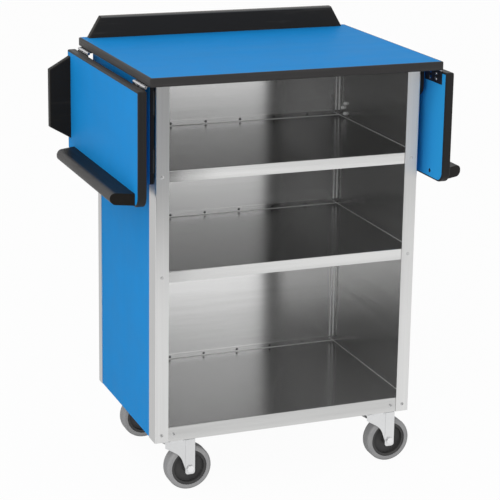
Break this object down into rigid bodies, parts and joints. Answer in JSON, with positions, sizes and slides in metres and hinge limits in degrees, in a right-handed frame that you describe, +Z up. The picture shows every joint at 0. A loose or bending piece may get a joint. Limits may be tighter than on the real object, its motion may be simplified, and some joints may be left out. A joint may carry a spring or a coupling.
{
  "type": "beverage cart",
  "caption": "Open-fronted steel cart on swivel casters, with shelves, a laminated worktop, a rear guard and a hinged drop leaf with handle at each end.",
  "frame": {"origin": "on the floor under the middle of the cart's outline", "axes": "+X to the cart's right, the open front faces -Y, +Z up"},
  "size_m": [0.804, 0.514, 0.983],
  "materials": {
    "stainless": "brushed stainless",
    "side_laminate": "satin",
    "blue_board": "satin laminate",
    "black_edge": "satin",
    "black_board": "satin laminate",
    "support_board": "satin laminate",
    "bright_fixings": "polished",
    "dark_hinge": "satin",
    "zinc_steel": "zinc plated",
    "dark_hub": "satin",
    "grey_tyre": "soft grey rubber"
  },
  "bodies": {
    "cabinet": {"front_left_post": "stainless", "front_right_post": "stainless", "rear_left_post": "stainless", "rear_right_post": "stainless", "left_wall": "stainless", "right_wall": "stainless", "back_wall": "stainless", "top_shelf": "stainless", "middle_shelf": "stainless", "bottom_shelf": "stainless", "left_panel": "side_laminate", "right_panel": "side_laminate", "rear_panel": "side_laminate", "worktop_board": "blue_board", "worktop_edge_band": "black_edge", "rear_guard": "black_board", "hinge_fixed_plates": "bright_fixings", "hinge_pins": "bright_fixings", "wing_hinge_bolts": "bright_fixings", "shelf_rivets": "bright_fixings", "post_screws": "bright_fixings", "worktop_screws": "bright_fixings", "left_caster_channel": "zinc_steel", "right_caster_channel": "zinc_steel", "caster_plates": "zinc_steel", "caster_kingpins": "zinc_steel", "caster_bolts": "zinc_steel"},
    "left_leaf": {"left_leaf_board": "blue_board", "left_leaf_edge_band": "black_edge", "left_leaf_guard": "black_board", "left_leaf_handle": "black_board", "left_leaf_hinge_plates": "dark_hinge", "left_leaf_screws": "bright_fixings"},
    "right_leaf": {"right_leaf_board": "blue_board", "right_leaf_edge_band": "black_edge", "right_leaf_guard": "black_board", "right_leaf_handle": "black_board", "right_leaf_hinge_plates": "dark_hinge", "right_leaf_screws": "bright_fixings"},
    "left_wing": {"left_wing_board": "support_board", "left_wing_hinges": "dark_hinge"},
    "right_wing": {"right_wing_board": "support_board", "right_wing_hinges": "dark_hinge"},
    "front_left_swivel": {"front_left_fork": "zinc_steel", "front_left_axle": "zinc_steel"},
    "front_left_wheel": {"front_left_hub": "dark_hub", "front_left_tyre": "grey_tyre"},
    "front_right_swivel": {"front_right_fork": "zinc_steel", "front_right_axle": "zinc_steel"},
    "front_right_wheel": {"front_right_hub": "dark_hub", "front_right_tyre": "grey_tyre"},
    "rear_left_swivel": {"rear_left_fork": "zinc_steel", "rear_left_axle": "zinc_steel"},
    "rear_left_wheel": {"rear_left_hub": "dark_hub", "rear_left_tyre": "grey_tyre"},
    "rear_right_swivel": {"rear_right_fork": "zinc_steel", "rear_right_axle": "zinc_steel"},
    "rear_right_wheel": {"rear_right_hub": "dark_hub", "rear_right_tyre": "grey_tyre"}
  },
  "joints": [
    {"name": "left_leaf_hinge", "type": "hinge", "parent": "cabinet", "child": "left_leaf", "pos_m": [-0.332, 0, 0.913], "axis": [0, 1, 0], "range_deg": [0, 90]},
    {"name": "right_leaf_hinge", "type": "hinge", "parent": "cabinet", "child": "right_leaf", "pos_m": [0.332, 0, 0.913], "axis": [0, -1, 0], "range_deg": [0, 90]},
    {"name": "left_wing_hinge", "type": "hinge", "parent": "cabinet", "child": "left_wing", "pos_m": [-0.303, -0.201, 0.806], "axis": [0, 0, 1], "range_deg": [0, 2.5]},
    {"name": "right_wing_hinge", "type": "hinge", "parent": "cabinet", "child": "right_wing", "pos_m": [0.303, 0.201, 0.806], "axis": [0, 0, 1], "range_deg": [0, 2.5]},
    {"name": "front_left_caster_swivel", "type": "hinge", "parent": "cabinet", "child": "front_left_swivel", "pos_m": [-0.24, -0.158, 0.12], "axis": [0, 0, 1], "continuous": true},
    {"name": "front_left_wheel_spin", "type": "hinge", "parent": "front_left_swivel", "child": "front_left_wheel", "pos_m": [-0.21, -0.158, 0.051], "axis": [0, 1, 0], "continuous": true},
    {"name": "front_right_caster_swivel", "type": "hinge", "parent": "cabinet", "child": "front_right_swivel", "pos_m": [0.24, -0.158, 0.12], "axis": [0, 0, 1], "continuous": true},
    {"name": "front_right_wheel_spin", "type": "hinge", "parent": "front_right_swivel", "child": "front_right_wheel", "pos_m": [0.27, -0.158, 0.051], "axis": [0, 1, 0], "continuous": true},
    {"name": "rear_left_caster_swivel", "type": "hinge", "parent": "cabinet", "child": "rear_left_swivel", "pos_m": [-0.24, 0.158, 0.12], "axis": [0, 0, 1], "continuous": true},
    {"name": "rear_left_wheel_spin", "type": "hinge", "parent": "rear_left_swivel", "child": "rear_left_wheel", "pos_m": [-0.21, 0.158, 0.051], "axis": [0, 1, 0], "continuous": true},
    {"name": "rear_right_caster_swivel", "type": "hinge", "parent": "cabinet", "child": "rear_right_swivel", "pos_m": [0.24, 0.158, 0.12], "axis": [0, 0, 1], "continuous": true},
    {"name": "rear_right_wheel_spin", "type": "hinge", "parent": "rear_right_swivel", "child": "rear_right_wheel", "pos_m": [0.27, 0.158, 0.051], "axis": [0, 1, 0], "continuous": true}
  ]
}
